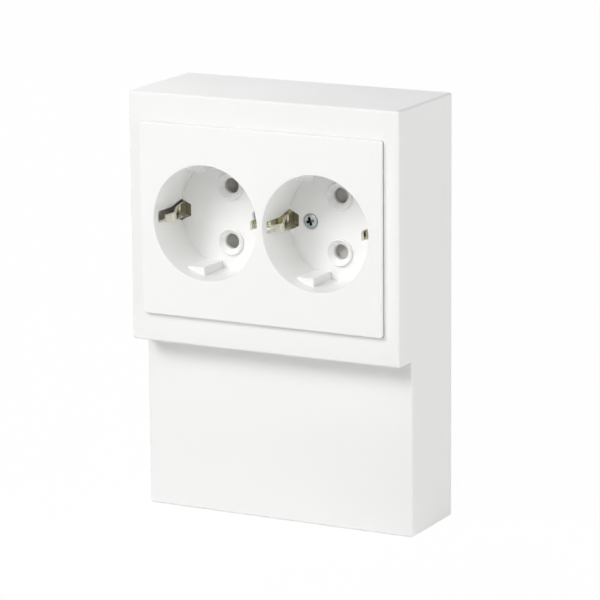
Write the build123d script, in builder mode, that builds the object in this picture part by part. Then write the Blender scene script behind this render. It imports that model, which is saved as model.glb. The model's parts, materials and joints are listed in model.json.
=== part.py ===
from build123d import *
import os

# Double earthed wall socket in a surface housing.
# X runs to the right, Z up and Y into the wall. The origin lies on the wall, behind the point
# midway between the two plug wells. A "level" is a distance from the wall towards the room.

# Housing
housing_width = 100.0
upper_height = 85.0
lower_height = 60.0
upper_depth = 40.0
lower_depth = 30.0
shell_wall = 2.2
front_wall = 2.8
edge_radius = 0.8

# Cover plate
plate_width = 89.0
plate_height = 65.0
plate_corner = 0.7
plate_edge = 0.4
plate_proud = 2.0
plate_skin = 2.0
plate_rim = 1.6
shadow_gap = 0.15
ledge_drop = 1.2
ledge_width = 3.2

# Plug wells
well_diameter = 39.0
well_pitch = 41.0
well_depth = 18.2
well_draft = 0.5
well_wall = 1.5
well_floor = 4.0
well_lip = 0.15
rib_width = 6.2
rib_height = 3.3
rib_offset = 6.5
rib_start = 5.5

# Pin holes, for a plug with two round pins
pin_pitch = 19.0
pin_hole = 5.3
funnel_diameter = 8.4
funnel_angle = 88.0
boss_diameter = 9.4
boss_height = 0.9
boss_bevel = 0.3

# Shutters behind the pin holes, pushed aside by the pins on their ramps
shutter_plate = 1.3
shutter_pad = 6.6
shutter_cover = 0.6
shutter_crest = 0.8
shutter_ramp = 4.3
shutter_travel = 5.8

# Slots for the earth clips, in the floor and the wall of a well
slot_inner = 15.3
slot_inner_width = 3.8
slot_floor_width = 7.4
slot_top_width = 3.9
slot_top = 3.1
slot_neck = 11.7

# Earth yokes, bent from sprung strip
yoke_sheet = 0.8
yoke_width = 8.0
yoke_bend = 1.3
clip_nose_bend = 3.0
clip_foot_inset = 0.9
clip_foot_width = 6.0
clip_knee_inset = 2.1
clip_knee_depth = 11.0
clip_nose_inset = 4.5
clip_nose_depth = 6.9
clip_nose_width = 3.2
clip_tip_inset = 3.1
clip_tip_depth = 2.4
clip_tip_width = 2.2

# Earth bar
earth_sheet = 1.0
earth_bar_length = 33.0
earth_bar_width = 7.0
earth_leg_width = 7.0
rivet_pitch = 27.0
rivet_diameter = 2.0
rivet_head = 3.6
rivet_head_height = 0.6

# Contact rails and their rolled sleeves
rail_sheet = 0.7
rail_front_room = 3.6
rail_bend = 1.5
rail_overhang = 2.5
sleeve_bore = 4.8
sleeve_rear_room = 1.0
sleeve_slit = 0.7
sleeve_slit_length = 7.0
terminal_pitch = 60.0

# Contact carrier
carrier_height = 42.0
carrier_side = 1.65
carrier_bottom = 2.0
carrier_corner = 2.0
carrier_lip = 3.0
flange_thick = 4.0
sleeve_room = 1.5
sleeve_wall = 1.4
ear_width = 14.0
ear_thick = 2.4
rail_rear_room = 0.7
insulator_thick = 1.5
insulator_gap = 0.8

# Push-in terminals
chamber_width = 6.0
chamber_height = 10.6
wire_hole = 2.6
wire_offset = 1.5
wire_pitch = 6.6
spring_sheet = 0.4
spring_side = 0.5
spring_bend = 0.9
spring_grip = 1.8
button_depth = 2.7
button_width = 3.0
button_place = 2.25
button_shoulder = 1.4
button_shoulder_width = 4.4
button_stand = 2.0
button_nose = 3.6
button_slope = 1.4

# Support plate and fasteners
support_sheet = 1.0
support_side = 3.8
support_edge = 4.0
support_corner = 4.0
device_pitch_x = 72.0
device_screw_room = 1.1
pillar_diameter = 7.0
cover_screw_pitch = 18.8
cover_screw_length = 10.0
cover_screw_head = 5.3
cover_screw_dome = 0.25
cover_screw_sink = 0.2
device_screw_length = 11.0
carrier_screw_length = 6.0
insulator_screw_pitch_x = 27.0
insulator_screw_pitch_z = 33.0
insulator_screw_length = 6.5
screw_diameter = 2.9
small_screw_diameter = 1.9
small_screw_head = 3.4
pan_head = 5.8
pan_height = 1.6
pan_round = 0.6

# Mounting base
base_thick = 2.2
base_corner = 3.0
wall_slot_pitch_x = 60.0
wall_slot_pitch_z = 71.0
wall_slot_width = 4.4
wall_slot_length = 9.0
cable_window_width = 30.0
cable_window_height = 11.0
cable_window_rise = 4.0

# Clearances
fit_gap = 0.3
loose_gap = 0.2
slide_gap = 0.15
thread_gap = 0.05

# Levels worked out from the front of the plate
plate_front = upper_depth + plate_proud
ledge_level = upper_depth - ledge_drop
floor_level = plate_front - well_depth
floor_back = floor_level - well_floor
carrier_front = floor_back - loose_gap
yoke_level = carrier_front - yoke_sheet
earth_level = yoke_level - earth_sheet
flange_level = carrier_front - flange_thick
support_level = flange_level - support_sheet
shutter_back = floor_back + slide_gap
shutter_front = shutter_back + shutter_plate
ramp_level = shutter_front - shutter_ramp
ramp_room_level = ramp_level - fit_gap
sleeve_front = ramp_room_level - loose_gap
screw_seat_level = floor_level - cover_screw_sink

# Levels worked out from the wall: a plug's 19 mm pins end just in front of the rear insulator
insulator_level = base_thick + insulator_gap
carrier_back = insulator_level + insulator_thick
rail_level = carrier_back + rail_rear_room
rail_width = earth_level - rail_front_room - rail_level

# Other places worked out from the driving sizes
top = upper_height / 2
step = -upper_height / 2
bottom = step - lower_height
well_radius = well_diameter / 2
floor_radius = well_radius - well_draft
cup_radius = well_radius + well_wall
recess_width = plate_width + 2 * shadow_gap
recess_height = plate_height + 2 * shadow_gap
sleeve_radius = sleeve_bore / 2 + rail_sheet
sleeve_length = sleeve_front - rail_level - sleeve_rear_room
shutter_low = pin_hole / 2 + shutter_cover
shutter_high = shutter_low + shutter_crest
rail_offset = (sleeve_bore + rail_sheet) / 2
terminal_x = terminal_pitch / 2
strip_face = terminal_x + rail_sheet / 2
earth_wing_x = -earth_leg_width / 2 + earth_sheet
carrier_width = 2 * (strip_face + chamber_width + carrier_side)
chamber_bottom = -carrier_height / 2 + carrier_bottom
chamber_top = chamber_bottom + chamber_height
strip_bottom = chamber_bottom + loose_gap * 2
terminal_level = rail_level + rail_width / 2
chamber_front = rail_level + rail_width + loose_gap * 3
spring_width = rail_width - 2 * spring_side
screw_radius = screw_diameter / 2
small_screw_radius = small_screw_diameter / 2
ear_level = flange_level + ear_thick
ear_reach = pan_head + 2 * fit_gap
carrier_screw_pitch = carrier_height + 2 * carrier_lip + ear_reach
device_pitch_z = carrier_height + 2 * (carrier_lip + device_screw_room) + pan_head
support_width = housing_width - 2 * (shell_wall + support_side)
support_height = device_pitch_z + 2 * support_edge
base_width = housing_width - 2 * shell_wall - 2 * fit_gap
base_height = upper_height - 2 * shell_wall - 2 * fit_gap
cut_past = 1.0

# The contact face of each terminal, and the side on which its wires lie
terminals = {
    "live": (-strip_face, -1),
    "neutral": (strip_face, 1),
    "earth": (earth_wing_x, 1),
}

# A plane seen from above, with levels as its second axis
above = Plane(origin=(0, 0, 0), x_dir=(1, 0, 0), z_dir=(0, 0, -1))
# A plane seen from the right, with heights first and levels second
beside = Plane(origin=(0, 0, 0), x_dir=(0, 0, 1), z_dir=(1, 0, 0))


def facing(level):
    """The plane at a level, seen from the room, with X to the right and Z up."""
    return Plane.XZ.offset(level)


def save(piece, name):
    """Label a finished piece and write it as its own file."""
    piece.part.label = name
    export_step(piece.part, f"parts/{name}.step")


os.makedirs("parts", exist_ok=True)


# Housing: a one-piece hood, deep above and shallow below, open at the back
with BuildPart() as housing:
    with BuildSketch(Plane.YZ):
        with BuildLine():
            Polyline(
                (0, top),
                (-upper_depth, top),
                (-upper_depth, step),
                (-lower_depth, step),
                (-lower_depth, bottom),
                (0, bottom),
                close=True,
            )
        make_face()
    extrude(amount=housing_width / 2, both=True)
    in_front = housing.edges().filter_by_position(Axis.Y, -upper_depth, -edge_radius)
    inner_corner = in_front.filter_by(Axis.X).filter_by_position(Axis.Y, -lower_depth, -lower_depth)
    inner_corner = inner_corner.sort_by(Axis.Z)[-1:]
    fillet(in_front - inner_corner, edge_radius)
    with BuildSketch(Plane.YZ):
        with BuildLine():
            Polyline(
                (cut_past, top - shell_wall),
                (-upper_depth + front_wall, top - shell_wall),
                (-upper_depth + front_wall, step + shell_wall),
                (-lower_depth + shell_wall, step + shell_wall),
                (-lower_depth + shell_wall, bottom + shell_wall),
                (cut_past, bottom + shell_wall),
                close=True,
            )
        make_face()
    extrude(amount=housing_width / 2 - shell_wall, both=True, mode=Mode.SUBTRACT)
    with BuildSketch(facing(upper_depth)):
        RectangleRounded(recess_width, recess_height, plate_corner + shadow_gap)
    extrude(amount=-ledge_drop, mode=Mode.SUBTRACT)
    with BuildSketch(facing(upper_depth)):
        RectangleRounded(recess_width - 2 * ledge_width, recess_height - 2 * ledge_width, plate_corner)
    extrude(amount=-front_wall, mode=Mode.SUBTRACT)
save(housing, "housing")


# Cover plate: a shallow lid with two cups that take the plugs
with BuildPart() as cover_plate:
    with BuildSketch(facing(ledge_level)):
        RectangleRounded(plate_width, plate_height, plate_corner)
    extrude(amount=plate_front - ledge_level)
    fillet(cover_plate.faces().sort_by(Axis.Y)[0].edges(), plate_edge)
    with BuildSketch(facing(ledge_level)):
        Rectangle(plate_width - 2 * plate_rim, plate_height - 2 * plate_rim)
    extrude(amount=plate_front - plate_skin - ledge_level, mode=Mode.SUBTRACT)
    with BuildSketch(facing(floor_back)):
        with GridLocations(well_pitch, 0, 2, 1):
            Circle(cup_radius)
    extrude(amount=plate_front - plate_skin / 2 - floor_back)

    # Hollow of each cup, a little narrower at its floor, with a softened lip
    for side in (-1, 1):
        axis_x = side * well_pitch / 2
        with BuildSketch(above):
            with BuildLine():
                Polyline(
                    (axis_x, floor_level),
                    (axis_x + floor_radius, floor_level),
                    (axis_x + well_radius, plate_front - well_lip),
                    (axis_x + well_radius + well_lip, plate_front),
                    (axis_x, plate_front),
                    close=True,
                )
            make_face()
        revolve(axis=Axis((axis_x, 0, 0), (0, 1, 0)), mode=Mode.SUBTRACT)

    # Guide ribs, one above and one below, both to the left of the middle of each well
    rib_z = well_radius - rib_height / 2
    for axis_x in (-well_pitch / 2, well_pitch / 2):
        with BuildSketch(facing(floor_level)):
            with Locations((axis_x - rib_offset, rib_z), (axis_x - rib_offset, -rib_z)):
                Rectangle(rib_width, rib_height)
            with Locations((axis_x, 0)):
                Circle(cup_radius - well_wall / 2, mode=Mode.INTERSECT)
        extrude(amount=well_depth - rib_start)

    # Ring bosses with funnel-shaped pin holes
    with BuildSketch(facing(floor_level)):
        with GridLocations(well_pitch, pin_pitch, 2, 2):
            Circle(boss_diameter / 2)
    extrude(amount=boss_height)
    boss_rims = cover_plate.edges().filter_by(GeomType.CIRCLE)
    boss_rims = boss_rims.filter_by(lambda rim: abs(rim.radius - boss_diameter / 2) < boss_bevel)
    chamfer(boss_rims.group_by(Axis.Y)[0], boss_bevel)
    with Locations(facing(floor_level + boss_height)):
        with GridLocations(well_pitch, pin_pitch, 2, 2):
            CounterSinkHole(
                radius=pin_hole / 2,
                counter_sink_radius=funnel_diameter / 2,
                depth=boss_height + well_floor,
                counter_sink_angle=funnel_angle,
            )

    # Pocket behind each floor, in which a shutter slides outwards
    for side in (-1, 1):
        pocket_length = shutter_low + shutter_high + shutter_travel + 2 * fit_gap
        pocket_x = side * (well_pitch / 2 - shutter_low - fit_gap + pocket_length / 2)
        with BuildSketch(facing(floor_back)):
            with Locations((pocket_x, 0)):
                Rectangle(pocket_length, pin_pitch + shutter_pad + 2 * loose_gap)
        extrude(amount=shutter_front + slide_gap - floor_back, mode=Mode.SUBTRACT)

    # Earth slots on the left and right of each well, through the floor and up the wall
    for axis_x in (-well_pitch / 2, well_pitch / 2):
        for side in (-1, 1):
            with BuildSketch(facing(floor_back)):
                with BuildLine():
                    Polyline(
                        (axis_x + side * slot_inner, slot_inner_width / 2),
                        (axis_x + side * floor_radius, slot_floor_width / 2),
                        (axis_x + side * (cup_radius + loose_gap), slot_floor_width / 2),
                        (axis_x + side * (cup_radius + loose_gap), -slot_floor_width / 2),
                        (axis_x + side * floor_radius, -slot_floor_width / 2),
                        (axis_x + side * slot_inner, -slot_inner_width / 2),
                        close=True,
                    )
                make_face()
            extrude(amount=well_floor, mode=Mode.SUBTRACT)
            with BuildSketch(beside.offset(axis_x + side * (floor_radius - well_wall))):
                with BuildLine():
                    Polyline(
                        (-slot_floor_width / 2, floor_level),
                        (slot_floor_width / 2, floor_level),
                        (slot_top_width / 2, plate_front - slot_neck),
                        (slot_top_width / 2, plate_front - slot_top),
                        (-slot_top_width / 2, plate_front - slot_top),
                        (-slot_top_width / 2, plate_front - slot_neck),
                        close=True,
                    )
                make_face()
            slot_reach = cup_radius + loose_gap - floor_radius + well_wall
            extrude(amount=side * slot_reach, mode=Mode.SUBTRACT)

    # Countersunk seats for the two cover screws
    with Locations(facing(floor_level)):
        with GridLocations(cover_screw_pitch, 0, 2, 1):
            CounterSinkHole(
                radius=screw_radius + loose_gap,
                counter_sink_radius=cover_screw_head / 2 + cover_screw_sink + loose_gap,
                depth=well_floor,
                counter_sink_angle=90,
            )
save(cover_plate, "cover_plate")


# Cover screws: raised countersunk heads, sunk a little in the floor of the wells
with BuildPart() as cover_screws:
    for side in (-1, 1):
        axis_x = side * cover_screw_pitch / 2
        head = cover_screw_head / 2
        with BuildSketch(above):
            with BuildLine():
                crown = ThreePointArc(
                    (axis_x, screw_seat_level + cover_screw_dome),
                    (axis_x + head / 2, screw_seat_level + cover_screw_dome * 0.75),
                    (axis_x + head, screw_seat_level),
                )
                Polyline(
                    crown @ 1,
                    (axis_x + screw_radius, screw_seat_level - head + screw_radius),
                    (axis_x + screw_radius, screw_seat_level - cover_screw_length + screw_radius),
                    (axis_x, screw_seat_level - cover_screw_length),
                    crown @ 0,
                )
            make_face()
        revolve(axis=Axis((axis_x, 0, 0), (0, 1, 0)))
save(cover_screws, "cover_screws")


# Shutters: a plate behind each well, with a ramp behind either pin hole
for name, side in (("left_shutter", -1), ("right_shutter", 1)):
    axis_x = side * well_pitch / 2
    with BuildPart() as shutter:
        with BuildSketch(above):
            with BuildLine():
                Polyline(
                    (axis_x - side * shutter_low, ramp_level),
                    (axis_x + side * shutter_low, shutter_front),
                    (axis_x + side * shutter_high, shutter_front),
                    (axis_x + side * shutter_high, ramp_level),
                    close=True,
                )
            make_face()
        extrude(amount=(pin_pitch + shutter_pad) / 2, both=True)
        with BuildSketch(above):
            with Locations((axis_x, (ramp_level + shutter_back) / 2)):
                Rectangle(2 * shutter_high, shutter_back - ramp_level)
        extrude(amount=(pin_pitch - shutter_pad) / 2, both=True, mode=Mode.SUBTRACT)
    save(shutter, name)


# Earth yokes: one sprung strip behind each well, with a clip bent up at either end
for name, side in (("left_earth_yoke", -1), ("right_earth_yoke", 1)):
    axis_x = side * well_pitch / 2
    half_path = [
        (floor_radius - clip_foot_inset, yoke_level + yoke_sheet / 2),
        (well_radius - clip_knee_inset, plate_front - clip_knee_depth),
        (well_radius - clip_nose_inset, plate_front - clip_nose_depth),
        (well_radius - clip_tip_inset, plate_front - clip_tip_depth),
    ]
    path = [(axis_x - r, level) for r, level in reversed(half_path)]
    path += [(axis_x + r, level) for r, level in half_path]
    half_bends = [clip_nose_bend, yoke_bend, yoke_bend]
    bends = half_bends + half_bends[::-1]
    with BuildPart() as earth_yoke:
        with BuildSketch(above):
            with BuildLine():
                FilletPolyline(*path, radius=bends)
            trace(line_width=yoke_sheet)
        extrude(amount=yoke_width / 2, both=True)
        with BuildSketch(beside):
            with BuildLine():
                Polyline(
                    (yoke_width / 2, yoke_level),
                    (yoke_width / 2, carrier_front),
                    (clip_foot_width / 2, floor_back),
                    (clip_nose_width / 2, plate_front - clip_nose_depth),
                    (clip_tip_width / 2, plate_front - clip_tip_depth),
                    (clip_tip_width / 2, plate_front),
                    (0, plate_front),
                    (0, yoke_level),
                    close=True,
                )
            make_face()
            mirror(about=Plane.YZ)
        extrude(amount=housing_width, both=True, mode=Mode.INTERSECT)
        with BuildSketch(facing(yoke_level)):
            with Locations((side * cover_screw_pitch / 2, 0)):
                Circle(screw_radius + thread_gap)
            with Locations((side * rivet_pitch / 2, 0)):
                Circle(rivet_diameter / 2 + thread_gap)
        extrude(amount=yoke_sheet, mode=Mode.SUBTRACT)
    save(earth_yoke, name)


# Earth bar: a strap under both yokes, with a leg whose wing is the earth terminal
with BuildPart() as earth_bar:
    with BuildSketch(facing(earth_level)):
        Rectangle(earth_bar_length, earth_bar_width)
        with Locations((0, strip_bottom / 2)):
            Rectangle(earth_leg_width, -strip_bottom)
        with GridLocations(cover_screw_pitch, 0, 2, 1):
            Circle(screw_radius + loose_gap, mode=Mode.SUBTRACT)
        with GridLocations(rivet_pitch, 0, 2, 1):
            Circle(rivet_diameter / 2 + thread_gap, mode=Mode.SUBTRACT)
    extrude(amount=earth_sheet)
    with BuildSketch(facing(rail_level)):
        with Locations((earth_wing_x - earth_sheet / 2, (strip_bottom + chamber_top) / 2)):
            Rectangle(earth_sheet, chamber_top - strip_bottom - loose_gap)
    extrude(amount=earth_level + earth_sheet - rail_level)
save(earth_bar, "earth_bar")


# Earth rivets: set flush in front, headed behind
with BuildPart() as earth_rivets:
    with BuildSketch(facing(earth_level)):
        with GridLocations(rivet_pitch, 0, 2, 1):
            Circle(rivet_diameter / 2)
    extrude(amount=earth_sheet + yoke_sheet)
    with BuildSketch(facing(earth_level)):
        with GridLocations(rivet_pitch, 0, 2, 1):
            Circle(rivet_head / 2)
    extrude(amount=-rivet_head_height)
save(earth_rivets, "earth_rivets")


# Contact rails: a strip on edge with two rolled sleeves, and a leg down to its terminal
rails = {
    "live_bar": (-1, pin_pitch / 2),
    "neutral_bar": (1, -pin_pitch / 2),
}


def rail_path(side, pin_z):
    """The middle line of a rail: past both sleeves, then down to the terminal on its side."""
    rail_z = pin_z + rail_offset
    return [
        (-side * (well_pitch / 2 + rail_overhang), rail_z),
        (side * terminal_x, rail_z),
        (side * terminal_x, strip_bottom),
    ]


for name, (side, pin_z) in rails.items():
    with BuildPart() as contact_bar:
        with BuildSketch(facing(rail_level)):
            with BuildLine():
                FilletPolyline(*rail_path(side, pin_z), radius=rail_bend)
            trace(line_width=rail_sheet)
        extrude(amount=rail_width)
        with BuildSketch(facing(sleeve_front)):
            with Locations((-well_pitch / 2, pin_z), (well_pitch / 2, pin_z)):
                Circle(sleeve_radius)
        extrude(amount=-sleeve_length)
        with BuildSketch(facing(sleeve_front)):
            with Locations((-well_pitch / 2, pin_z), (well_pitch / 2, pin_z)):
                Circle(sleeve_bore / 2)
        extrude(amount=-sleeve_length, mode=Mode.SUBTRACT)
        with BuildSketch(facing(sleeve_front)):
            with Locations((-well_pitch / 2, pin_z), (well_pitch / 2, pin_z)):
                Rectangle(2 * sleeve_radius + loose_gap, sleeve_slit)
        extrude(amount=-sleeve_slit_length, mode=Mode.SUBTRACT)
    save(contact_bar, name)


# Contact carrier: the insulating body, with chambers open at the back and earth seats in front
with BuildPart() as contact_carrier:
    with BuildSketch(facing(carrier_back)):
        RectangleRounded(carrier_width, carrier_height, carrier_corner)
    extrude(amount=flange_level - carrier_back)
    with BuildSketch(facing(flange_level)):
        RectangleRounded(carrier_width + 2 * carrier_lip, carrier_height + 2 * carrier_lip, carrier_corner)
    extrude(amount=flange_thick)
    with BuildSketch(facing(flange_level)):
        Rectangle(ear_width, carrier_height + 2 * (carrier_lip + ear_reach))
    extrude(amount=ear_thick)

    # Round chambers for the sleeves, the room for the shutters' ramps, and the way between
    with BuildSketch(facing(carrier_back)):
        with GridLocations(well_pitch, pin_pitch, 2, 2):
            Circle(sleeve_radius + sleeve_room)
    extrude(amount=ramp_room_level - sleeve_wall - carrier_back, mode=Mode.SUBTRACT)
    with BuildSketch(facing(ramp_room_level)):
        with GridLocations(well_pitch, pin_pitch, 2, 2):
            Circle(sleeve_radius + fit_gap)
    extrude(amount=-sleeve_wall, mode=Mode.SUBTRACT)
    room_length = shutter_low + shutter_high + shutter_travel + 2 * fit_gap
    room_pitch = well_pitch - 2 * (shutter_low + fit_gap) + room_length
    with BuildSketch(facing(ramp_room_level)):
        with GridLocations(room_pitch, pin_pitch, 2, 2):
            Rectangle(room_length, shutter_pad + 2 * fit_gap)
    extrude(amount=carrier_front - ramp_room_level, mode=Mode.SUBTRACT)

    # Channels for the rails
    for side, pin_z in rails.values():
        with BuildSketch(facing(carrier_back)):
            with BuildLine():
                FilletPolyline(*rail_path(side, pin_z), radius=rail_bend)
            trace(line_width=rail_sheet + 2 * loose_gap)
        extrude(amount=rail_level + rail_width + loose_gap - carrier_back, mode=Mode.SUBTRACT)

    # Terminal chambers, with two wire holes and the slot of a release button below each
    for face_x, side in terminals.values():
        with BuildSketch(facing(carrier_back)):
            with Locations((face_x + side * chamber_width / 2, (chamber_bottom + chamber_top) / 2)):
                Rectangle(chamber_width, chamber_height)
        extrude(amount=chamber_front - carrier_back, mode=Mode.SUBTRACT)
        with BuildSketch(Plane.XY.offset(-carrier_height / 2)):
            for end in (-1, 1):
                with Locations((face_x + side * wire_offset, -terminal_level + end * wire_pitch / 2)):
                    Circle(wire_hole / 2)
            with Locations((face_x + side * button_place, -terminal_level)):
                Rectangle(button_depth + 2 * slide_gap, button_width + 2 * slide_gap)
        extrude(amount=carrier_bottom, mode=Mode.SUBTRACT)

    # Seats in front for the yokes, the earth bar, its leg and its wing
    with BuildSketch(facing(carrier_front)):
        Rectangle(well_pitch + 2 * (floor_radius + yoke_sheet), yoke_width + 2 * loose_gap)
    extrude(amount=-yoke_sheet, mode=Mode.SUBTRACT)
    with BuildSketch(facing(carrier_front)):
        Rectangle(earth_bar_length + 2 * loose_gap, earth_bar_width + 2 * loose_gap)
        with Locations((0, (strip_bottom - loose_gap) / 2)):
            Rectangle(earth_leg_width + 2 * loose_gap, -strip_bottom + loose_gap)
    extrude(amount=earth_level - carrier_front, mode=Mode.SUBTRACT)
    with BuildSketch(facing(carrier_back)):
        with Locations((earth_wing_x - earth_sheet / 2, (chamber_bottom + chamber_top) / 2)):
            Rectangle(earth_sheet + 2 * loose_gap, chamber_height)
    extrude(amount=earth_level - carrier_back, mode=Mode.SUBTRACT)
    with BuildSketch(facing(earth_level)):
        with GridLocations(rivet_pitch, 0, 2, 1):
            Circle(rivet_head / 2 + loose_gap)
    extrude(amount=-rivet_head_height - loose_gap, mode=Mode.SUBTRACT)

    # Screw holes: cover screws in front, carrier screws in the ears, small ones at the back
    with BuildSketch(facing(earth_level)):
        with GridLocations(cover_screw_pitch, 0, 2, 1):
            Circle(screw_radius + loose_gap)
    extrude(amount=screw_seat_level - cover_screw_length - fit_gap - earth_level, mode=Mode.SUBTRACT)
    with BuildSketch(facing(flange_level)):
        with GridLocations(0, carrier_screw_pitch, 1, 2):
            Circle(screw_radius + loose_gap)
    extrude(amount=ear_thick, mode=Mode.SUBTRACT)
    with BuildSketch(facing(carrier_back)):
        with GridLocations(insulator_screw_pitch_x, insulator_screw_pitch_z, 2, 2):
            Circle(small_screw_radius + thread_gap)
    extrude(amount=insulator_screw_length - insulator_thick + fit_gap, mode=Mode.SUBTRACT)
save(contact_carrier, "contact_carrier")


# Rear insulator: closes the chambers at the back
with BuildPart() as rear_insulator:
    with BuildSketch(facing(insulator_level)):
        RectangleRounded(carrier_width - 2 * fit_gap, carrier_height - 2 * fit_gap, carrier_corner)
        with GridLocations(insulator_screw_pitch_x, insulator_screw_pitch_z, 2, 2):
            Circle(small_screw_radius + loose_gap, mode=Mode.SUBTRACT)
    extrude(amount=insulator_thick)
    countersinks = rear_insulator.faces().sort_by(Axis.Y)[-1].edges().filter_by(GeomType.CIRCLE)
    countersinks = countersinks.filter_by(lambda rim: rim.radius < small_screw_diameter)
    chamfer(countersinks, (small_screw_head - small_screw_diameter) / 2)
save(rear_insulator, "rear_insulator")


# Insulator screws: countersunk, flush with the back of the insulator
with BuildPart() as insulator_screws:
    with Locations(facing(insulator_level)):
        with GridLocations(insulator_screw_pitch_x, insulator_screw_pitch_z, 2, 2):
            Cylinder(
                small_screw_radius,
                insulator_screw_length,
                align=(Align.CENTER, Align.CENTER, Align.MIN),
            )
            Cone(
                small_screw_head / 2,
                small_screw_radius,
                (small_screw_head - small_screw_diameter) / 2,
                align=(Align.CENTER, Align.CENTER, Align.MIN),
            )
save(insulator_screws, "insulator_screws")


# Support plate: zinc-plated steel frame around the carrier
with BuildPart() as support_plate:
    with BuildSketch(facing(support_level)):
        RectangleRounded(support_width, support_height, support_corner)
        RectangleRounded(
            carrier_width + 2 * fit_gap,
            carrier_height + 2 * fit_gap,
            carrier_corner,
            mode=Mode.SUBTRACT,
        )
        with GridLocations(device_pitch_x, device_pitch_z, 2, 2):
            Circle(screw_radius + loose_gap, mode=Mode.SUBTRACT)
        with GridLocations(0, carrier_screw_pitch, 1, 2):
            Circle(screw_radius + thread_gap, mode=Mode.SUBTRACT)
    extrude(amount=support_sheet)
save(support_plate, "support_plate")


def pan_screw(x, z, seat_level, length):
    """A pan-head screw whose head sits on a level, pointing at the wall."""
    with BuildSketch(above.offset(-z)) as profile:
        with BuildLine():
            FilletPolyline(
                (x, seat_level + pan_height),
                (x + pan_head / 2, seat_level + pan_height),
                (x + pan_head / 2, seat_level),
                radius=pan_round,
            )
            Polyline(
                (x + pan_head / 2, seat_level),
                (x + screw_radius, seat_level),
                (x + screw_radius, seat_level - length + screw_radius),
                (x, seat_level - length),
                (x, seat_level + pan_height),
            )
        make_face()
    revolve(profile.sketch, axis=Axis((x, 0, z), (0, 1, 0)))


# Carrier screws: hold the ears of the carrier to the support plate
with BuildPart() as carrier_screws:
    for end in (-1, 1):
        pan_screw(0, end * carrier_screw_pitch / 2, ear_level, carrier_screw_length)
save(carrier_screws, "carrier_screws")


# Device screws: hold the support plate to the pillars of the base
with BuildPart() as device_screws:
    for side in (-1, 1):
        for end in (-1, 1):
            pan_screw(side * device_pitch_x / 2, end * device_pitch_z / 2, flange_level, device_screw_length)
save(device_screws, "device_screws")


# Clamp springs: a bent strip in each terminal, which grips a wire against its contact face
for pole, (face_x, side) in terminals.items():
    back_x = chamber_width - spring_sheet
    with BuildPart() as clamp_spring:
        with BuildSketch(facing(terminal_level)):
            with BuildLine():
                FilletPolyline(
                    (face_x + side * back_x, chamber_top - fit_gap * 2),
                    (face_x + side * back_x, chamber_bottom - spring_bend),
                    (face_x + side * spring_sheet, chamber_top - spring_grip),
                    radius=spring_bend,
                )
            trace(line_width=spring_sheet)
        extrude(amount=spring_width / 2, both=True)
    save(clamp_spring, f"{pole}_clamp_spring")


# Release buttons: each slides up in its slot to lift the clamp spring
for pole, (face_x, side) in terminals.items():
    stem_x = face_x + side * button_place
    with BuildPart() as release_button:
        with BuildSketch(facing(terminal_level)):
            with BuildLine():
                Polyline(
                    (stem_x - side * button_depth / 2, -carrier_height / 2 - button_stand),
                    (stem_x + side * button_depth / 2, -carrier_height / 2 - button_stand),
                    (stem_x + side * button_depth / 2, chamber_bottom + button_nose - button_slope),
                    (stem_x - side * button_depth / 2, chamber_bottom + button_nose),
                    close=True,
                )
            make_face()
        extrude(amount=button_width / 2, both=True)
        with BuildSketch(Plane.XY.offset(chamber_bottom)):
            with Locations((stem_x, -terminal_level)):
                Rectangle(button_depth, button_shoulder_width)
        extrude(amount=button_shoulder)
    save(release_button, f"{pole}_release_button")


# Mounting base: fixed to the wall, with pillars for the socket insert
with BuildPart() as mounting_base:
    with BuildSketch(facing(0)):
        RectangleRounded(base_width, base_height, base_corner)
        with GridLocations(wall_slot_pitch_x, wall_slot_pitch_z, 2, 2):
            SlotOverall(wall_slot_length, wall_slot_width, mode=Mode.SUBTRACT)
        with Locations((0, -base_height / 2 + cable_window_rise + cable_window_height / 2)):
            Rectangle(cable_window_width, cable_window_height, mode=Mode.SUBTRACT)
    extrude(amount=base_thick)
    with BuildSketch(facing(base_thick)):
        with GridLocations(device_pitch_x, device_pitch_z, 2, 2):
            Circle(pillar_diameter / 2)
    extrude(amount=support_level - base_thick)
    with BuildSketch(facing(support_level)):
        with GridLocations(device_pitch_x, device_pitch_z, 2, 2):
            Circle(screw_radius + thread_gap)
    extrude(amount=-device_screw_length, mode=Mode.SUBTRACT)
save(mounting_base, "mounting_base")
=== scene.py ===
# %% [markdown]
# # A double wall socket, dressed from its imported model
# The CAD model holds every piece at its true size and place. This lesson sets up a white studio
# with a long lens, gives each piece its finish, makes the screws with their threads and cross
# recesses, and bends, fits or flattens copies of a few pieces. All lengths are in metres, in the
# frame of the CAD model: X to the right, Z up and Y into the wall.

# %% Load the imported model
import json
import math

import bpy
from mathutils import Matrix, Vector


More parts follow.
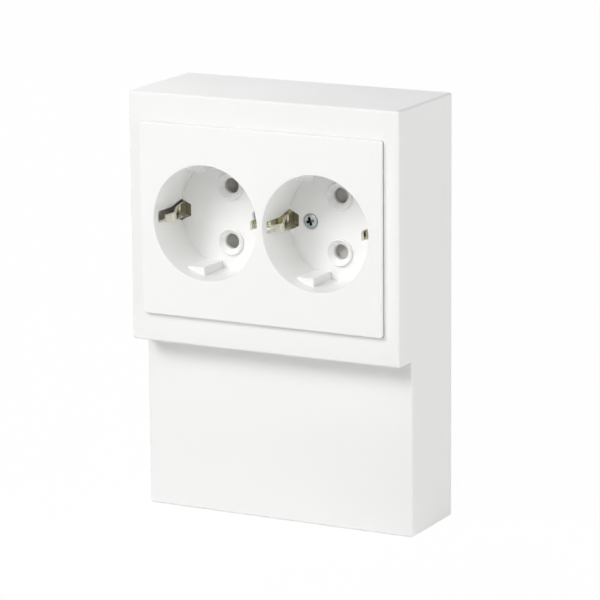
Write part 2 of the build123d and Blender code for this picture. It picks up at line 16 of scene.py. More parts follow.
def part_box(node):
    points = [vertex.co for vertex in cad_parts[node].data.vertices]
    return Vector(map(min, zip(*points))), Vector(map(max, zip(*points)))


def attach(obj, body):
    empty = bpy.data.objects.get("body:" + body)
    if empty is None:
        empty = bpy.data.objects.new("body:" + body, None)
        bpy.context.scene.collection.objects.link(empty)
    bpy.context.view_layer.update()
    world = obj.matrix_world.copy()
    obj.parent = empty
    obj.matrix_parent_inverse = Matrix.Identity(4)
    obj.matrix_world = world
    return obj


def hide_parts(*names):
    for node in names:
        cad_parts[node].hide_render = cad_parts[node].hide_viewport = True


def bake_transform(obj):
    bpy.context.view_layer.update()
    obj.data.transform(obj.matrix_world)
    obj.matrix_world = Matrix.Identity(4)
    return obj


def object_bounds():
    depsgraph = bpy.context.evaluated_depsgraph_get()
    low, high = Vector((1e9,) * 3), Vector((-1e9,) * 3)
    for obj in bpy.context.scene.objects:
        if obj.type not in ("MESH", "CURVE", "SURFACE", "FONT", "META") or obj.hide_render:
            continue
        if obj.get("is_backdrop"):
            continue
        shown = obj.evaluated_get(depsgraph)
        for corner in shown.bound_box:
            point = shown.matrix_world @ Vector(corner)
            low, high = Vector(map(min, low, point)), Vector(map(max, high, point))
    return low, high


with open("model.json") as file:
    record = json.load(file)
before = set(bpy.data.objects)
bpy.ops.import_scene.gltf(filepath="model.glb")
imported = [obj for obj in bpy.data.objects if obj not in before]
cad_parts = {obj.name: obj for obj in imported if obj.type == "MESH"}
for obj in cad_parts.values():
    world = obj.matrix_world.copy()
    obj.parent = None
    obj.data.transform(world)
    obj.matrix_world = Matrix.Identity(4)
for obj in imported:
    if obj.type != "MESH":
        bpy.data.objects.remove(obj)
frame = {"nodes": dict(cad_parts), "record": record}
nodes = frame["nodes"]
cad_low, cad_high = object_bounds()
print("nodes:", len(nodes), "box from", tuple(cad_low), "to", tuple(cad_high))

# %% [markdown]
# ## Small helpers
# Sizes on a drawing are in millimetres, colours on a screen are sRGB hex values, and a node tree
# is a list of nodes with links. A short function for each of these jobs keeps the rest of the
# lesson short. A Mix node has sockets of the same name for plain numbers and for colours, so they
# are found by their place in its list.

# %% Helpers
MM = 0.001
MIX_SHARE = 0
MIX_FIRST_NUMBER = 2
MIX_SECOND_NUMBER = 3
MIX_FIRST_COLOUR = 6
MIX_SECOND_COLOUR = 7
MIXED_NUMBER = 0
MIXED_COLOUR = 2


def linear(hex_colour):
    """An sRGB hex colour as the linear RGBA value that Blender's sockets take."""
    channels = [int(hex_colour[i:i + 2], 16) / 255 for i in (1, 3, 5)]
    return (*(c / 12.92 if c <= 0.04045 else ((c + 0.055) / 1.055) ** 2.4 for c in channels), 1.0)


def add_node(tree, kind, inputs=None, **settings):
    """Add a shader node, give it its settings, and fill or link its inputs."""
    node = tree.nodes.new(kind)
    for name, value in settings.items():
        setattr(node, name, value)
    for name, value in (inputs or {}).items():
        if isinstance(value, bpy.types.NodeSocket):
            tree.links.new(value, node.inputs[name])
        else:
            node.inputs[name].default_value = value
    return node


def start_material(name):
    """A new material with its shader, and the place of each point on the piece."""
    material = bpy.data.materials.new(name)
    material.use_nodes = True
    tree = material.node_tree
    place = add_node(tree, "ShaderNodeTexCoord").outputs["Object"]
    return material, tree, tree.nodes["Principled BSDF"], place


def direction(azimuth, elevation):
    """The way from the socket towards a lamp or a camera, with azimuth 0 straight in front."""
    across = math.radians(azimuth)
    above = math.radians(elevation)
    level = math.cos(above)
    return Vector((math.sin(across) * level, -math.cos(across) * level, math.sin(above)))


print("white #FFFFFF is", linear("#FFFFFF"), "and mid grey #808080 is", linear("#808080"))

# %% [markdown]
# ## The camera
# The photograph was taken from the right and a little above, with a long lens. The values come
# from fitting a pinhole camera to the corners of the housing. The focal length is in pixels of a
# frame 600 pixels wide, so it is scaled to Blender's 36 mm sensor.

# %% Camera
camera_azimuth = 27.51
camera_elevation = 12.755
camera_roll = math.radians(-0.459)
camera_distance = 1251.9 * MM
camera_target = Vector((-7.01, 0, -33.2)) * MM
focal_pixels = 3664.7
frame_pixels = 600
sensor_width = 36.0

backward = direction(camera_azimuth, camera_elevation)
level_right = Vector((0, 0, 1)).cross(backward).normalized()
level_up = backward.cross(level_right)
right = math.cos(camera_roll) * level_right + math.sin(camera_roll) * level_up
up = math.cos(camera_roll) * level_up - math.sin(camera_roll) * level_right

bpy.ops.object.camera_add()
camera = bpy.context.object
camera.name = "camera"
turned = Matrix((right, up, backward)).transposed().to_4x4()
camera.matrix_world = Matrix.Translation(camera_target + backward * camera_distance) @ turned
camera.data.sensor_width = sensor_width
camera.data.lens = focal_pixels / frame_pixels * sensor_width
camera.data.clip_start = 0.05
camera.data.clip_end = 50.0
bpy.context.scene.camera = camera
print("camera at", tuple(camera.location), "with a lens of", round(camera.data.lens, 1), "mm")

# %% [markdown]
# ## The white studio
# White goods are photographed on white. The world and the floor look pure white to the camera and
# to mirror-like surfaces, and the light that falls on the socket is set apart from that. A small key
# lamp high on the left draws the shadows in the wells, a soft box above the camera fills them, two
# soft boxes on the right light that side, and one behind on the left lights the top.

# %% World
world = bpy.data.worlds.new("studio")
world.use_nodes = True
bpy.context.scene.world = world
tree = world.node_tree
tree.nodes.clear()
dome_strength = 0.01


def seen_directly(tree):
    """One for rays that should meet the plain white background, and zero for light rays."""
    rays = add_node(tree, "ShaderNodeLightPath").outputs
    shiny = add_node(tree, "ShaderNodeMath",
                     {0: rays["Is Glossy Ray"], 1: rays["Is Transmission Ray"]},
                     operation="MAXIMUM").outputs[0]
    return add_node(tree, "ShaderNodeMath", {0: rays["Is Camera Ray"], 1: shiny},
                    operation="MAXIMUM").outputs[0]


dome = add_node(tree, "ShaderNodeBackground",
                {"Color": linear("#FFFFFF"), "Strength": dome_strength})
white = add_node(tree, "ShaderNodeBackground", {"Color": linear("#FFFFFF"), "Strength": 1.0})
choice = add_node(tree, "ShaderNodeMixShader",
                  {0: seen_directly(tree), 1: dome.outputs[0], 2: white.outputs[0]})
add_node(tree, "ShaderNodeOutputWorld", {"Surface": choice.outputs[0]})
print("dome strength", dome_strength)

# %% Floor
floor_size = 6.0
floor_shadow = 0.015
bpy.ops.mesh.primitive_plane_add(size=floor_size, location=(0, 0, cad_low.z))
floor = bpy.context.object
floor.name = "floor"
material, tree, shader = start_material("white_paper_floor")[:3]
shader.inputs["Base Color"].default_value = linear("#F2F2F2")
shader.inputs["Roughness"].default_value = 0.9
shader.inputs["Specular IOR Level"].default_value = 0.1
glow = add_node(tree, "ShaderNodeEmission", {"Color": linear("#FFFFFF"), "Strength": 1.0})
share = add_node(tree, "ShaderNodeMath", {0: seen_directly(tree), 1: 1 - floor_shadow},
                 operation="MULTIPLY")
paper = add_node(tree, "ShaderNodeMixShader",
                 {0: share.outputs[0], 1: shader.outputs[0], 2: glow.outputs[0]})
tree.links.new(paper.outputs[0], tree.nodes["Material Output"].inputs["Surface"])
floor.data.materials.append(material)
floor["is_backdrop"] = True
print("floor at", round(cad_low.z, 4))

# %% Lamps
lamp_distance = 1.3
lamps = {
    "left_key": {"azimuth": -32, "elevation": 33, "size": 0.5, "power": 7.3},
    "high_softbox": {"azimuth": 0, "elevation": 40, "size": 1.1, "power": 5.8},
    "right_softbox": {"azimuth": 75, "elevation": 5, "size": 1.1, "power": 7.1},
    "side_softbox": {"azimuth": 95, "elevation": 5, "size": 1.1, "power": 5.1},
    "rear_softbox": {"azimuth": -130, "elevation": 35, "size": 1.1, "power": 5.8},
}
socket_middle = (cad_low + cad_high) / 2
for name, lamp in lamps.items():
    outward = direction(lamp["azimuth"], lamp["elevation"])
    bpy.ops.object.light_add(type="AREA", location=socket_middle + outward * lamp_distance)
    light = bpy.context.object
    light.name = name
    light.rotation_mode = "QUATERNION"
    light.rotation_quaternion = outward.to_track_quat("Z", "Y")
    light.data.shape = "DISK"
    light.data.size = lamp["size"]
    light.data.energy = lamp["power"]
    light.visible_camera = False
    print(name, "at", tuple(round(c, 3) for c in light.location))

bpy.context.scene.view_settings.view_transform = "Standard"

# %% [markdown]
# White plastic two millimetres thick lets a little light through, so the inside of the housing is
# dim and never black. Light that scatters inside a wall is slow to trace. Three very weak warm
# lamps behind the plate, beside and between the wells, stand in for it.

# %% Light inside the housing
inner_colour = "#FBF9E6"
inner_lamps = {
    "left_inside": {"place_mm": (-44.5, -30, 0), "power": 0.0002, "radius_mm": 2.5},
    "middle_inside": {"place_mm": (0.5, -26, -1.5), "power": 0.00006, "radius_mm": 2.4},
    "right_inside": {"place_mm": (41.5, -33, 0), "power": 0.0001, "radius_mm": 2.4},
}
for name, lamp in inner_lamps.items():
    bpy.ops.object.light_add(type="POINT", location=Vector(lamp["place_mm"]) * MM)
    light = bpy.context.object
    light.name = name
    light.data.energy = lamp["power"]
    light.data.color = linear(inner_colour)[:3]
    light.data.shadow_soft_size = lamp["radius_mm"] * MM
    light.visible_camera = False
    print(name, "at", tuple(round(c, 4) for c in light.location))

# %% [markdown]
# ## Plastics
# The housing and the plate are injection moulded in a white thermoplastic, ABS or polycarbonate.
# The mould leaves an even satin skin: a fine grain, very slight clouds in the gloss where the melt
# cooled unevenly, and no colour of its own to speak of. No moulded edge is truly sharp, so a bevel
# node rounds the shading of each edge by a tenth of a millimetre or two. The insulating pieces
# inside are urea moulding compound, duller and a little yellow. One recipe makes them all.

# %% A recipe for moulded plastic
noise_low = 0.3
noise_high = 0.7
edge_mm = 0.15
gloss_swing = 0.04
grain_strength = 0.5
plastic_ior = 1.53


def moulded_plastic(name, light_tone, dark_tone, roughness, cloud_mm, grain_mm, grain_depth_mm):
    """Moulded plastic: clouds in tone and gloss at one size, and a fine surface grain at another."""
    material, tree, shader, place = start_material(name)
    clouds = add_node(tree, "ShaderNodeTexNoise",
                      {"Vector": place, "Scale": 1 / (cloud_mm * MM), "Detail": 3.0})
    tone = add_node(tree, "ShaderNodeMix",
                    {MIX_SHARE: clouds.outputs["Fac"], MIX_FIRST_COLOUR: linear(light_tone),
                     MIX_SECOND_COLOUR: linear(dark_tone)}, data_type="RGBA")
    gloss = add_node(tree, "ShaderNodeMapRange",
                     {"Value": clouds.outputs["Fac"], "From Min": noise_low, "From Max": noise_high,
                      "To Min": roughness - gloss_swing, "To Max": roughness + gloss_swing})
    grain = add_node(tree, "ShaderNodeTexNoise",
                     {"Vector": place, "Scale": 1 / (grain_mm * MM), "Detail": 2.0})
    rounded = add_node(tree, "ShaderNodeBevel", {"Radius": edge_mm * MM}, samples=4)
    bump = add_node(tree, "ShaderNodeBump",
                    {"Height": grain.outputs["Fac"], "Strength": grain_strength,
                     "Distance": grain_depth_mm * MM, "Normal": rounded.outputs[0]})
    tree.links.new(tone.outputs[MIXED_COLOUR], shader.inputs["Base Color"])
    tree.links.new(gloss.outputs["Result"], shader.inputs["Roughness"])
    tree.links.new(bump.outputs["Normal"], shader.inputs["Normal"])
    shader.inputs["IOR"].default_value = plastic_ior
    return material


print("moulded edges look rounded by", edge_mm, "mm")

# %% Plastic finishes
# Each row has a name, two tones, a roughness, and in mm the clouds and the grain's size and depth
plastics = {
    "housing_plastic": ("white_abs_satin_moulding", "#F7F7F6", "#F4F4F3", 0.45, 35, 0.5, 0.006),
    "plate_plastic": ("white_polycarbonate_moulding", "#FAFAF9", "#F7F7F6", 0.34, 30, 0.5, 0.004),
    "base_plastic": ("white_abs_dull_moulding", "#E9E9E6", "#E3E3E0", 0.55, 25, 0.6, 0.012),
    "shutter_plastic": ("grey_acetal_moulding", "#BBB9B3", "#B1AFA9", 0.4, 8, 0.3, 0.005),
    "carrier_plastic": ("cream_urea_moulding", "#E4E2D6", "#DAD8CB", 0.5, 12, 0.4, 0.01),
    "insulator_plastic": ("dark_grey_laminate", "#56585A", "#4A4C4E", 0.6, 10, 0.4, 0.012),
    "button_plastic": ("orange_nylon_moulding", "#D9722B", "#CC6822", 0.42, 3, 0.3, 0.006),
}
finishes = {slot: moulded_plastic(*recipe) for slot, recipe in plastics.items()}
print("plastics:", ", ".join(sorted(finishes)))

# %% [markdown]
# ## Metals
# Sheet metal carries the marks of the rolling mill: fine lines in one direction. Plating softens
# them. Each metal keeps its own colour in its reflections, and small stains change its tone. A
# screw's finish has painted shade: it turns dark grey where an ambient occlusion node finds the
# surface sheltered within a millimetre or so, as in the cross recess. The
# edges of the clips were sheared by the stamping tool, so they are duller than the rolled faces.

# %% A recipe for rolled metal
stain_mm = 4
# The dark grey painted as shade into the sheltered hollows of a screw
recess_shade_tone = "#3C4648"
sheltered = 0.55
in_the_open = 0.92
smoothest = 0.75
roughest = 1.3
line_strength = 0.4
line_depth_mm = 0.004
edge_facing = 0.6


def rolled_metal(name, bright_tone, dull_tone, roughness, line_mm, line_length_mm,
                 shade_reach_mm=0, edge_roughness=0):
    """Rolled and plated metal: fine lines along X, stains, painted shade in hollows, dull sheared edges.
    """
    material, tree, shader, place = start_material(name)
    across = 1 / (line_mm * MM)
    lengthwise = 1 / (line_length_mm * MM)
    drawn_out = add_node(tree, "ShaderNodeMapping",
                         {"Vector": place, "Scale": (lengthwise, across, across)})
    lines = add_node(tree, "ShaderNodeTexNoise",
                     {"Vector": drawn_out.outputs[0], "Scale": 1.0, "Detail": 2.0})
    stains = add_node(tree, "ShaderNodeTexNoise",
                      {"Vector": place, "Scale": 1 / (stain_mm * MM), "Detail": 3.0})
    tone = add_node(tree, "ShaderNodeMix",
                    {MIX_SHARE: stains.outputs["Fac"], MIX_FIRST_COLOUR: linear(bright_tone),
                     MIX_SECOND_COLOUR: linear(dull_tone)}, data_type="RGBA")
    # Painted shade: the tone turns to a dark grey where the ambient occlusion node finds the surface
    # sheltered
    if shade_reach_mm:
        open_air = add_node(tree, "ShaderNodeAmbientOcclusion", {"Distance": shade_reach_mm * MM}, samples=8)
        unshaded_share = add_node(tree, "ShaderNodeMapRange",
                         {"Value": open_air.outputs["AO"], "From Min": sheltered,
                          "From Max": in_the_open})
        tone = add_node(tree, "ShaderNodeMix",
                        {MIX_SHARE: unshaded_share.outputs["Result"], MIX_FIRST_COLOUR: linear(recess_shade_tone),
                         MIX_SECOND_COLOUR: tone.outputs[MIXED_COLOUR]}, data_type="RGBA")
    gloss = add_node(tree, "ShaderNodeMapRange",
                     {"Value": lines.outputs["Fac"], "From Min": noise_low, "From Max": noise_high,
                      "To Min": roughness * smoothest, "To Max": roughness * roughest})
    finish = gloss.outputs["Result"]
    if edge_roughness:
        facing = add_node(tree, "ShaderNodeSeparateXYZ",
                          {0: tree.nodes["Texture Coordinate"].outputs["Normal"]})
        upright = add_node(tree, "ShaderNodeMath", {0: facing.outputs["Z"]}, operation="ABSOLUTE")
        edge = add_node(tree, "ShaderNodeMath", {0: upright.outputs[0], 1: edge_facing},
                        operation="GREATER_THAN")
        finish = add_node(tree, "ShaderNodeMix",
                          {MIX_SHARE: edge.outputs[0], MIX_FIRST_NUMBER: finish,
                           MIX_SECOND_NUMBER: edge_roughness}).outputs[MIXED_NUMBER]
    bump = add_node(tree, "ShaderNodeBump",
                    {"Height": lines.outputs["Fac"], "Strength": line_strength,
                     "Distance": line_depth_mm * MM})
    tree.links.new(tone.outputs[MIXED_COLOUR], shader.inputs["Base Color"])
    tree.links.new(finish, shader.inputs["Roughness"])
    tree.links.new(bump.outputs["Normal"], shader.inputs["Normal"])
    shader.inputs["Metallic"].default_value = 1.0
    return material


print("stains about", stain_mm, "mm wide, rolling lines", line_depth_mm, "mm deep")

# %% Metal finishes
# Each row has a name, two tones, a roughness, the width and length of the rolling lines in mm, and
# where there is any, the reach of the painted shade in mm and the roughness of the sheared edges
metals = {
    "nickel_strip": ("nickel_plated_spring_bronze", "#DEDBCC", "#CFCBB9", 0.06, 0.15, 6.0, 0, 0.55),
    "earth_brass": ("tinned_brass_strip", "#CFC9B0", "#BDB698", 0.3, 0.15, 8.0),
    "rivet_brass": ("turned_brass_rivet", "#D8BC74", "#C4A55E", 0.26, 0.1, 0.3),
    "contact_brass": ("tinned_brass_contact", "#CFCAB6", "#B9B39C", 0.3, 0.15, 5.0),
    "zinc_sheet": ("zinc_plated_steel_sheet", "#C6CACC", "#B2B7BA", 0.36, 0.2, 10.0),
    "zinc_screw": ("zinc_plated_steel_screw", "#BFC6C9", "#A9B1B5", 0.3, 0.1, 0.4, 1.2),
    "cover_screw_steel": ("bright_zinc_plated_screw", "#B8C1C3", "#A4AEB1", 0.28, 0.1, 0.4, 1.2),
    "spring_steel": ("bright_spring_steel", "#BDBFC0", "#A6A8AA", 0.25, 0.12, 6.0),
}
finishes.update({slot: rolled_metal(*recipe) for slot, recipe in metals.items()})
print("finishes:", len(finishes))

# %% [markdown]
# The record that comes with the part names a finish for each piece. Dressing them one by one by
# hand would be slow and easy to get wrong, so one loop reads the record and gives each its own.

# %% Give every CAD node its finish
slot_of = {part["node"]: part["material_slot"] for part in frame["record"]["subparts"]}
for node_name, slot in slot_of.items():
    mesh = nodes[node_name].data
    mesh.materials.clear()
    mesh.materials.append(finishes[slot])
print("finished nodes:", len(slot_of))

# %% [markdown]
# ## Screws
# A screw is a turned blank with a rolled thread and a pressed cross recess. The CAD model keeps
# the plain blank, so each set of screws is modelled here in full and takes the blanks' places.
# Half an outline is spun about the axis, the rings of the shank are pressed inwards along a helix,
# and a tapered tool cuts the two wings of the cross. Sculpting each thread by hand would be slow
# and uneven, so the helix is a formula. One screw of each kind is made and then copied.

# %% Half outlines of the heads
def raised_countersunk(head, shank, rise):
    """From the middle of a slightly domed head, over its worn rim and down its cone to the shank."""
    steps = 6
    rim = 0.13 * MM
    crown = head - 2 * rim
    dome = [(crown * i / steps, rise * (1 - (i / steps) ** 2)) for i in range(steps + 1)]
    return dome + [(head - rim, -rim), (shank, shank - head)]


def flat_countersunk(head, shank, rise):
    """From the middle of a flat head, down its 45 degree cone to the shank."""
    return [(0, rise), (head, rise), (shank, rise + shank - head)]


def pan(head, shank, rise):
    """From the middle of a pan head, round its corner and back under it to the shank."""
    corner = 0.6 * MM
    steps = 5
    turns = [math.pi / 2 * i / steps for i in range(steps + 1)]
    rounded = [(head - corner + corner * math.sin(t), rise - corner + corner * math.cos(t))
               for t in turns]
    return [(0, rise)] + rounded + [(head, 0), (shank, 0)]


print("kinds of head:", ", ".join(kind.__name__ for kind in (raised_countersunk, flat_countersunk, pan)))

# %% Cut a cross recess
recess_depth_share = 0.4
wing_width_share = 0.34
wing_taper = 0.6


def select_only(thing):
    """Deselect everything, then select one object and make it the active one."""
    bpy.ops.object.select_all(action="DESELECT")
    thing.select_set(True)
    bpy.context.view_layer.objects.active = thing


def cross_recess(screw, top, span):
    """Press two tapered wings into the head, at right angles, narrower at the bottom."""
    depth = span * recess_depth_share
    wing = span * wing_width_share
    for angle in (0, math.pi / 2):
        bpy.ops.mesh.primitive_cube_add(size=1, location=(0, 0, top), rotation=(0, 0, angle))
        tool = bpy.context.object
        tool.scale = (span, wing, 2 * depth)
        select_only(tool)
        bpy.ops.object.transform_apply(location=True, rotation=True, scale=True)
        for corner in tool.data.vertices:
            if corner.co.z < top:
                corner.co.x *= wing_taper
                corner.co.y *= wing_taper
        cut = screw.modifiers.new("recess", "BOOLEAN")
        cut.operation = "DIFFERENCE"
        cut.solver = "EXACT"
        cut.object = tool
        select_only(screw)
        bpy.ops.object.modifier_apply(modifier=cut.name)
        bpy.data.objects.remove(tool)


print("a recess is", recess_depth_share, "of its span deep")

# %% Turn, thread and recess one screw
rings_per_pitch = 6
spin_steps = 48
crest_half_width = 0.32
core_share = 0.9
screw_smooth_angle = math.radians(38)


def turned_screw(name, outline, shank, length, pitch, thread_depth, recess_span):
    """A screw along Z with its seat at the origin, its head above and its thread below."""
    thread_top = outline[-1][1]
    thread_end = shank - length
    thread_run = thread_end - thread_top
    ring_count = round(-thread_run / pitch * rings_per_pitch)
    rings = [(shank, thread_top + thread_run * i / ring_count) for i in range(1, ring_count + 1)]
    half = outline + rings + [(0, -length)]
    mesh = bpy.data.meshes.new(name)
    mesh.from_pydata([(x, 0, z) for x, z in half], [(i, i + 1) for i in range(len(half) - 1)], [])
    screw = bpy.data.objects.new(name, mesh)
    bpy.context.collection.objects.link(screw)
    select_only(screw)
    bpy.ops.object.mode_set(mode="EDIT")
    bpy.ops.mesh.select_all(action="SELECT")
    bpy.ops.mesh.spin(steps=spin_steps, angle=2 * math.pi, center=(0, 0, 0), axis=(0, 0, 1))
    bpy.ops.mesh.select_all(action="SELECT")
    bpy.ops.mesh.remove_doubles(threshold=0.002 * MM)
    bpy.ops.mesh.normals_make_consistent(inside=False)
    bpy.ops.object.mode_set(mode="OBJECT")

    margin = pitch / 10
    for point in screw.data.vertices:
        radius = math.hypot(point.co.x, point.co.y)
        in_thread = thread_end - margin < point.co.z < thread_top - margin
        if not in_thread or radius < shank * core_share:
            continue
        turn = math.atan2(point.co.y, point.co.x) / (2 * math.pi)
        phase = (point.co.z / pitch - turn) % 1
        crest = max(0, 1 - abs(phase - 0.5) / crest_half_width)
        squeeze = 1 - thread_depth * (1 - crest) / radius
        point.co.x *= squeeze
        point.co.y *= squeeze

    cross_recess(screw, outline[0][1], recess_span)
    select_only(screw)
    bpy.ops.object.shade_smooth_by_angle(angle=screw_smooth_angle)
    return screw


print("rings in one turn of thread:", rings_per_pitch)

# %% Make each set of screws
screw_sets = {
    "cover_screws": {"head": raised_countersunk, "head_mm": 5.3, "rise_mm": 0.25, "shank_mm": 2.9,
                     "pitch_mm": 0.8, "thread_mm": 0.3, "recess_mm": 3.7,
                     "grid": (2, 1), "turns": (68, 17)},
    "device_screws": {"head": pan, "head_mm": 5.8, "rise_mm": 1.6, "shank_mm": 2.9,
                      "pitch_mm": 1.1, "thread_mm": 0.35, "recess_mm": 3.4,
                      "grid": (2, 2), "turns": (10, 55, 32, 76)},
    "carrier_screws": {"head": pan, "head_mm": 5.8, "rise_mm": 1.6, "shank_mm": 2.9,
                       "pitch_mm": 1.1, "thread_mm": 0.35, "recess_mm": 3.4,
                       "grid": (1, 2), "turns": (24, 61)},
    "insulator_screws": {"head": flat_countersunk, "head_mm": 3.4, "rise_mm": 0.0, "shank_mm": 1.9,
                         "pitch_mm": 0.8, "thread_mm": 0.25, "recess_mm": 2.2,
                         "grid": (2, 2), "turns": (5, 40, 71, 22)},
}


def evenly(low, high, count):
    """Places from one end to the other, or the middle one alone."""
    if count == 1:
        return [(low + high) / 2]
    return [low + (high - low) * i / (count - 1) for i in range(count)]


for node_name, kind in screw_sets.items():
    low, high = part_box(node_name)
    head = kind["head_mm"] / 2 * MM
    shank = kind["shank_mm"] / 2 * MM
    rise = kind["rise_mm"] * MM
    faces_room = node_name != "insulator_screws"
    length = high.y - low.y - rise
    seat = low.y + rise if faces_room else high.y
    upright = Matrix.Rotation(math.radians(90 if faces_room else -90), 4, "X")
    first = turned_screw(node_name + "_threaded", kind["head"](head, shank, rise), shank, length,
                         kind["pitch_mm"] * MM, kind["thread_mm"] * MM, kind["recess_mm"] * MM)
    columns, rows = kind["grid"]
    places = [(x, z) for x in evenly(low.x + head, high.x - head, columns)
              for z in evenly(low.z + head, high.z - head, rows)]
    copies = []
    for (x, z), turn in zip(places, kind["turns"]):
        copy = bpy.data.objects.new(node_name + "_copy", first.data.copy())
        bpy.context.collection.objects.link(copy)
        spun = Matrix.Rotation(math.radians(turn), 4, "Z")
        copy.matrix_world = Matrix.Translation((x, seat, z)) @ upright @ spun
        copies.append(copy)
    bpy.data.objects.remove(first)
    select_only(copies[0])
    for copy in copies:
        copy.select_set(True)
    bpy.ops.object.join()
    screws = bpy.context.object
    screws.name = node_name + "_threaded"
    bpy.ops.object.transform_apply(location=True, rotation=True, scale=True)
    screws.data.materials.clear()
    screws.data.materials.append(finishes[slot_of[node_name]])
    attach(screws, "socket")
    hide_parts(node_name)
    print(screws.name, len(screws.data.polygons), "faces, length", round(length / MM, 2), "mm")

# %% [markdown]
# ## Copies that change a little
# The next pieces keep the shape of their CAD pieces, apart from a bend, a push or a flat. Making
# them anew could lose a size, so each is a copy. A CAD mesh is loose triangles, and a copy of it is
# first merged into one skin. Its hard edges stay hard, and its large flat faces keep their own
# normal beside small bevels, so that no streak shows in their shine.

# %% Copy a CAD mesh as one skin
merge_distance = 0.001 * MM


def merged_copy(node_name, new_name):
    """A copy of a CAD node, its loose triangles merged and its hard edges kept hard."""
    piece = bpy.data.objects.new(new_name, nodes[node_name].data.copy())
    bpy.context.collection.objects.link(piece)
    select_only(piece)
    bpy.ops.object.mode_set(mode="EDIT")
    bpy.ops.mesh.select_all(action="SELECT")
    bpy.ops.mesh.remove_doubles(threshold=merge_distance, use_sharp_edge_from_normals=True)
    bpy.ops.object.mode_set(mode="OBJECT")
    bpy.ops.mesh.customdata_custom_splitnormals_clear()
    return piece


def flatten_shading(piece):
    """Let large flat faces keep their own normal beside small bevels and rounds."""
    select_only(piece)
    even = piece.modifiers.new("flat_faces", "WEIGHTED_NORMAL")
    even.keep_sharp = True
    bpy.ops.object.modifier_apply(modifier=even.name)


print("points closer than", merge_distance / MM, "mm are merged")

# %% [markdown]
# ## Earth clips
# The clips are stamped from spring strip and bent over a round tool, so that from the foot to the
# tip they swing in one smooth curve round the nose, where the CAD strip has straight legs. Tumbling
# has rounded their edges, which catch the light. A copy of each yoke is cut across into short
# lengths, bent to the curve by a formula, and bevelled.

# %% The curve of a clip
plate_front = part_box("cover_plate")[0].y
nose_radius = 14.95 * MM
nose_depth = 5.9 * MM
foot_swing = 3.9 * MM
swing_depth = 5.1 * MM
half_sheet = 0.4 * MM
cad_path = [(16.4 * MM, 2.4 * MM), (15.0 * MM, 6.9 * MM),
            (17.4 * MM, 11.0 * MM), (18.44 * MM, 22.8 * MM)]


def cad_radius(depth):
    """How far the CAD strip's middle is from the well's axis, at a depth below the plate's front."""
    for (near_r, near_d), (far_r, far_d) in zip(cad_path, cad_path[1:]):
        if depth < far_d:
            break
    return near_r + (far_r - near_r) * (depth - near_d) / (far_d - near_d)


def bent_radius(depth, side):
    """The same for the smooth curve, on its inner face with side -1 or its outer face with side 1."""
    past_nose = depth - nose_depth
    spread = past_nose ** 2 + swing_depth ** 2
    slope = 2 * foot_swing * past_nose * swing_depth ** 2 / spread ** 2
    return nose_radius + foot_swing * past_nose ** 2 / spread + side * half_sheet * math.hypot(1, slope)


print("nose at", round(bent_radius(nose_depth, -1) / MM, 2), "mm from the axis")

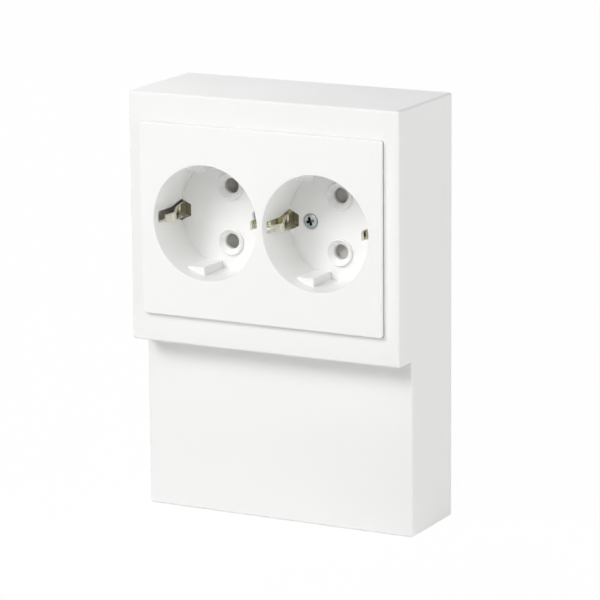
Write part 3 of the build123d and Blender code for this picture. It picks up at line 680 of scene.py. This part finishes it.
# %% Earth clips bent and with rounded edges
stamped_edge = 0.14 * MM
cut_step = 0.45 * MM
bent_to = 16.0 * MM
straight_from = 20.0 * MM
same_plane = math.radians(0.5)
bevelled_from = math.radians(45)
clip_smooth_angle = math.radians(40)
for node_name in ("left_earth_yoke", "right_earth_yoke"):
    clip = merged_copy(node_name, node_name + "_tumbled")
    bpy.ops.object.mode_set(mode="EDIT")
    bpy.ops.mesh.select_all(action="SELECT")
    bpy.ops.mesh.dissolve_limited(angle_limit=same_plane)
    for cut in range(1, int(straight_from / cut_step)):
        bpy.ops.mesh.select_all(action="SELECT")
        bpy.ops.mesh.bisect(plane_co=(0, plate_front + cut * cut_step, 0), plane_no=(0, 1, 0))
    bpy.ops.object.mode_set(mode="OBJECT")
    low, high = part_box(node_name)
    axis_x = (low.x + high.x) / 2
    for point in clip.data.vertices:
        depth = point.co.y - plate_front
        if depth > straight_from:
            continue
        radius = abs(point.co.x - axis_x)
        face = -1 if radius < cad_radius(depth) else 1
        share = min(1, (straight_from - depth) / (straight_from - bent_to))
        radius += share * (bent_radius(depth, face) - radius)
        point.co.x = axis_x + math.copysign(radius, point.co.x - axis_x)
    bevel = clip.modifiers.new("tumbled", "BEVEL")
    bevel.width = stamped_edge
    bevel.segments = 3
    bevel.limit_method = "ANGLE"
    bevel.angle_limit = bevelled_from
    bpy.ops.object.modifier_apply(modifier=bevel.name)
    bpy.ops.object.shade_smooth_by_angle(angle=clip_smooth_angle, keep_sharp_edges=False)
    flatten_shading(clip)
    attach(clip, "socket")
    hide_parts(node_name)
    print(clip.name, len(clip.data.polygons), "faces")

# %% [markdown]
# ## Cover plate
# The plate lies in a recess with 0.15 mm of play all round. When its screws were tightened it was
# pushed up and to the left, so there the joint is closed, and on the right it is open. Only the rim
# of a copy is moved, by about the play, so that wells and screw holes stay where they are.

# %% Cover plate pushed into its corner
play = 0.15 * MM
pushed = 0.9 * play
rim_width = 1.0 * MM
low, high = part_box("cover_plate")
plate = merged_copy("cover_plate", "cover_plate_fitted")
for point in plate.data.vertices:
    if point.co.x < low.x + rim_width or point.co.x > high.x - rim_width:
        point.co.x -= pushed
    if point.co.z > high.z - rim_width:
        point.co.z += pushed
flatten_shading(plate)
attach(plate, "socket")
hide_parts("cover_plate")
print(plate.name, len(plate.data.vertices), "points")

# %% [markdown]
# ## Right shutter
# Behind the pin holes on the right the photograph shows a face that lies flat and catches the
# light. A copy of that shutter has the thin end of its ramp raised almost to the front, inside the
# room that the shutter slides in.

# %% Right shutter with a flat face
flat_drop = 0.15 * MM
end_reach = 0.01 * MM
low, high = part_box("right_shutter")
shutter = merged_copy("right_shutter", "right_shutter_flat")
raised = 0
for point in shutter.data.vertices:
    if point.co.x < low.x + end_reach:
        point.co.y = low.y + flat_drop
        raised += 1
flatten_shading(shutter)
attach(shutter, "right_slider")
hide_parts("right_shutter")
print(shutter.name, raised, "points raised")

# %% [markdown]
# ## Clamp springs
# A release button lifts the free leg of the spring above it, and the upright leg stays against the
# chamber's wall. A rigid spring would be cut by the button. Each spring is copied as one skin with
# its flat faces kept flat, and the copy takes the CAD spring's place; it does not bend.

# %% Clamp springs copied as one skin
for pole in ("live", "neutral", "earth"):
    node_name = pole + "_clamp_spring"
    spring = merged_copy(node_name, node_name + "_flexing")
    flatten_shading(spring)
    low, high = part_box(node_name)
    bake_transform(spring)
    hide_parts(node_name)

# %% [markdown]
# ## The sizes
# The box round the finished pieces is written beside the box of the CAD model, so that a reader can
# see that no piece has grown past it.

# %% Record the sizes
low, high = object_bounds()
print("visual box from", tuple(low), "to", tuple(high))
